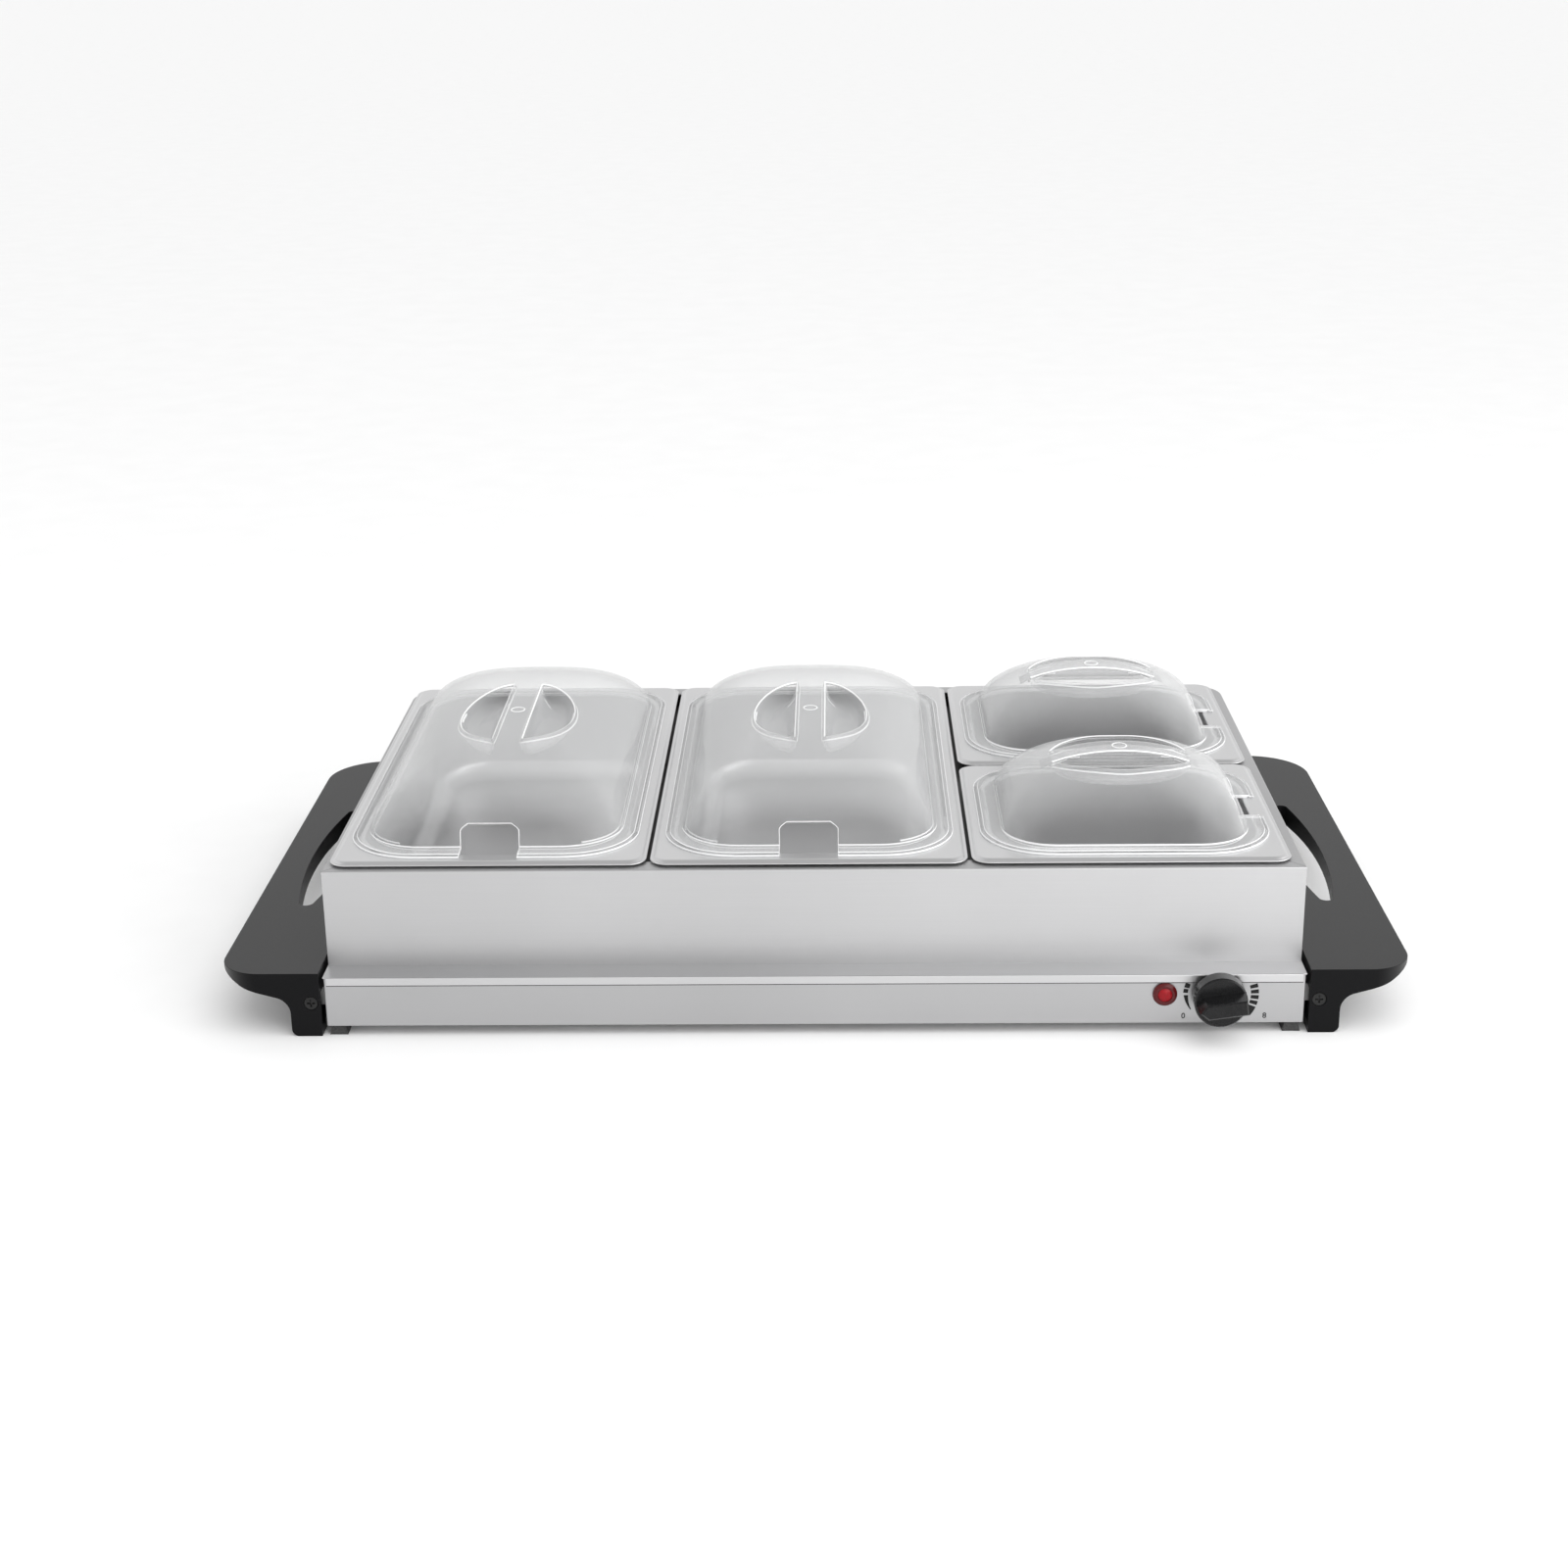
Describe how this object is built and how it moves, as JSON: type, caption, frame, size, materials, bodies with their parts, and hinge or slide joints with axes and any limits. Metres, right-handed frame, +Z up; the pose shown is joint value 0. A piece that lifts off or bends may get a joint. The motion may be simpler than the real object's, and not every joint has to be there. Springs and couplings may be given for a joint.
{
  "type": "electric food warmer tray",
  "caption": "Electric countertop food warmer: a flat heated base with side handles carries a lift-off frame of steel serving pans with clear lids, a thermostat knob and a lamp.",
  "frame": {"origin": "on the table, under the middle of the whole product: half its width, and half way between the face of the knob and the end of the cord gland", "axes": "+X to the right as seen from the side with the knob, +Y to the rear, +Z up"},
  "size_m": [0.66, 0.3894, 0.1337],
  "materials": {
    "stainless_sheet": "satin stainless sheet",
    "frame_steel": "satin stainless sheet",
    "pan_steel": "drawn satin stainless steel",
    "clear_lid": "clear moulded polycarbonate",
    "black_plastic": "fine satin moulding",
    "knob_plastic": "satin moulding",
    "lamp_red": "tinted moulding",
    "lens_red": "tinted clear moulding",
    "zinc_steel": "zinc plated",
    "foot_rubber": "matt",
    "element_sheath": "heat-tinted tube",
    "fibre_mat": "mineral fibre",
    "white_ceramic": "matt",
    "brown_phenolic": "moulded phenolic",
    "brass": "turned",
    "bulb_glass": "clear",
    "lead_sleeve": "woven glass sleeve",
    "earth_sleeve": "insulation"
  },
  "bodies": {
    "base": {"base_housing": "stainless_sheet", "hot_plate": "stainless_sheet", "bottom_cover": "zinc_steel", "bottom_cover_screws": "zinc_steel", "rubber_feet": "foot_rubber", "right_handle": "black_plastic", "left_handle": "black_plastic", "right_handle_bracket": "zinc_steel", "left_handle_bracket": "zinc_steel", "right_handle_screws": "zinc_steel", "left_handle_screws": "zinc_steel", "heating_element": "element_sheath", "element_terminals": "white_ceramic", "element_clamps": "zinc_steel", "heat_shield": "zinc_steel", "insulation_mat": "fibre_mat", "thermostat": "brown_phenolic", "thermostat_nut": "zinc_steel", "lamp_bezel": "lamp_red", "lamp_lens": "lens_red", "lamp_clip": "zinc_steel", "neon_bulb": "bulb_glass", "lamp_plug": "black_plastic", "cord_gland": "black_plastic", "terminal_block": "white_ceramic", "earth_screw": "brass", "thermal_fuse": "zinc_steel", "live_lead": "lead_sleeve", "switched_lead": "lead_sleeve", "fuse_lead": "lead_sleeve", "neutral_lead": "lead_sleeve", "lamp_lead": "lead_sleeve", "lamp_neutral_lead": "lead_sleeve", "earth_lead": "earth_sleeve"},
    "control_knob": {"knob": "knob_plastic", "thermostat_shaft": "zinc_steel"},
    "pan_frame": {"frame_front": "frame_steel", "frame_wrap": "frame_steel", "left_divider": "frame_steel", "right_divider": "frame_steel", "small_pan_support": "frame_steel"},
    "left_pan_body": {"left_pan": "pan_steel"},
    "left_lid_body": {"left_lid": "clear_lid"},
    "middle_pan_body": {"middle_pan": "pan_steel"},
    "middle_lid_body": {"middle_lid": "clear_lid"},
    "front_pan_body": {"front_pan": "pan_steel"},
    "front_lid_body": {"front_lid": "clear_lid"},
    "rear_pan_body": {"rear_pan": "pan_steel"},
    "rear_lid_body": {"rear_lid": "clear_lid"}
  },
  "joints": [
    {"name": "knob_turn", "type": "hinge", "parent": "base", "child": "control_knob", "pos_m": [0.2228, -0.1777, 0.0234], "axis": [0, 1, 0], "range_deg": [-37, 233]},
    {"name": "frame_lift", "type": "slide", "parent": "base", "child": "pan_frame", "axis": [0, 0, 1], "range_m": [0, 0.08]},
    {"name": "left_pan_lift", "type": "slide", "parent": "pan_frame", "child": "left_pan_body", "axis": [0, 0, 1], "range_m": [0, 0.09]},
    {"name": "middle_pan_lift", "type": "slide", "parent": "pan_frame", "child": "middle_pan_body", "axis": [0, 0, 1], "range_m": [0, 0.09]},
    {"name": "front_pan_lift", "type": "slide", "parent": "pan_frame", "child": "front_pan_body", "axis": [0, 0, 1], "range_m": [0, 0.09]},
    {"name": "rear_pan_lift", "type": "slide", "parent": "pan_frame", "child": "rear_pan_body", "axis": [0, 0, 1], "range_m": [0, 0.09]},
    {"name": "left_lid_lift", "type": "slide", "parent": "left_pan_body", "child": "left_lid_body", "axis": [0, 0, 1], "range_m": [0, 0.06]},
    {"name": "middle_lid_lift", "type": "slide", "parent": "middle_pan_body", "child": "middle_lid_body", "axis": [0, 0, 1], "range_m": [0, 0.06]},
    {"name": "front_lid_lift", "type": "slide", "parent": "front_pan_body", "child": "front_lid_body", "axis": [0, 0, 1], "range_m": [0, 0.06]},
    {"name": "rear_lid_lift", "type": "slide", "parent": "rear_pan_body", "child": "rear_lid_body", "axis": [0, 0, 1], "range_m": [0, 0.06]}
  ]
}
